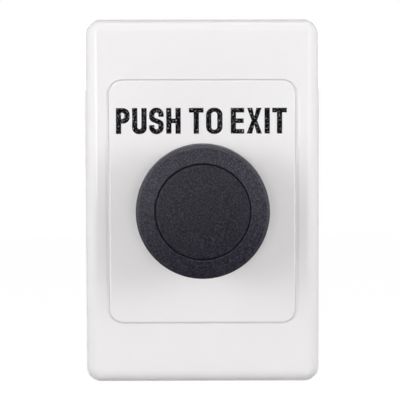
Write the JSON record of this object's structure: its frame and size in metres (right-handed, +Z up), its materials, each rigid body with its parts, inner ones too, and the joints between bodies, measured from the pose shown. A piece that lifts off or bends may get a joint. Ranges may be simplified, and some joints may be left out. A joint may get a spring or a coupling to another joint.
{
  "type": "mushroom push button",
  "caption": "Mushroom-head exit push button on a clip-on wall plate, with its operator barrel, ring nut and screw-terminal contact blocks behind the panel.",
  "frame": {"origin": "centre of the plate, in the wall plane that its back lies on", "axes": "+Z up, +X to the right for someone who faces the button, +Y into the wall along the pressing direction"},
  "size_m": [0.075, 0.076, 0.116],
  "materials": {
    "white_plastic": "glossy moulded",
    "black_plastic": "fine spark-eroded grain",
    "block_plastic": "satin moulded",
    "rubber": "matt",
    "plated_steel": "zinc plated",
    "spring_steel": "drawn wire",
    "brass": "stamped",
    "green_plastic": "moulded",
    "red_plastic": "moulded"
  },
  "bodies": {
    "root": {"surround_cover": "white_plastic", "base_plate": "white_plastic", "bezel_gasket": "rubber", "operator_barrel": "black_plastic", "stem_seal": "rubber", "lock_washer": "plated_steel", "fixing_nut": "black_plastic", "return_spring": "spring_steel", "contact_carrier": "black_plastic", "carrier_lock_screw": "plated_steel", "make_block_housing": "block_plastic", "make_block_cover": "block_plastic", "make_block_spring": "spring_steel", "make_terminal_top": "brass", "make_terminal_bottom": "brass", "make_terminal_screws": "plated_steel", "make_clamp_plates": "plated_steel", "break_block_housing": "block_plastic", "break_block_cover": "block_plastic", "break_block_spring": "spring_steel", "break_terminal_top": "brass", "break_terminal_bottom": "brass", "break_terminal_screws": "plated_steel", "break_clamp_plates": "plated_steel"},
    "button": {"mushroom_cap": "black_plastic", "cap_insert": "black_plastic", "cap_screw": "plated_steel", "plunger": "black_plastic", "push_plate": "black_plastic", "push_plate_screw": "plated_steel"},
    "make_slider": {"make_contact_plunger": "green_plastic", "make_contact_spring": "spring_steel"},
    "make_bridge": {"make_bridge_contact": "brass"},
    "break_slider": {"break_contact_plunger": "red_plastic", "break_contact_spring": "spring_steel"},
    "break_bridge": {"break_bridge_contact": "brass"}
  },
  "joints": [
    {"name": "press", "type": "slide", "parent": "root", "child": "button", "axis": [0, 1, 0], "range_m": [0, 0.0045], "stiffness_N_per_m": 1500, "springref_m": -0.003, "deforming": ["return_spring"]},
    {"name": "make_slider_slide", "type": "slide", "parent": "root", "child": "make_slider", "axis": [0, 1, 0], "range_m": [0, 0.0045], "deforming": ["make_block_spring", "make_contact_spring"]},
    {"name": "make_bridge_slide", "type": "slide", "parent": "root", "child": "make_bridge", "axis": [0, 1, 0], "range_m": [0, 0.0025]},
    {"name": "break_slider_slide", "type": "slide", "parent": "root", "child": "break_slider", "axis": [0, 1, 0], "range_m": [0, 0.0045], "deforming": ["break_block_spring", "break_contact_spring"]},
    {"name": "break_bridge_slide", "type": "slide", "parent": "root", "child": "break_bridge", "axis": [0, 1, 0], "range_m": [0, 0.0025]}
  ],
  "couplings": [
    {"joint": "make_slider_slide", "follows": "press", "ratio": 1},
    {"joint": "make_bridge_slide", "follows": "press", "ratio": 0.5555},
    {"joint": "break_slider_slide", "follows": "press", "ratio": 1},
    {"joint": "break_bridge_slide", "follows": "press", "ratio": 0.5555}
  ]
}
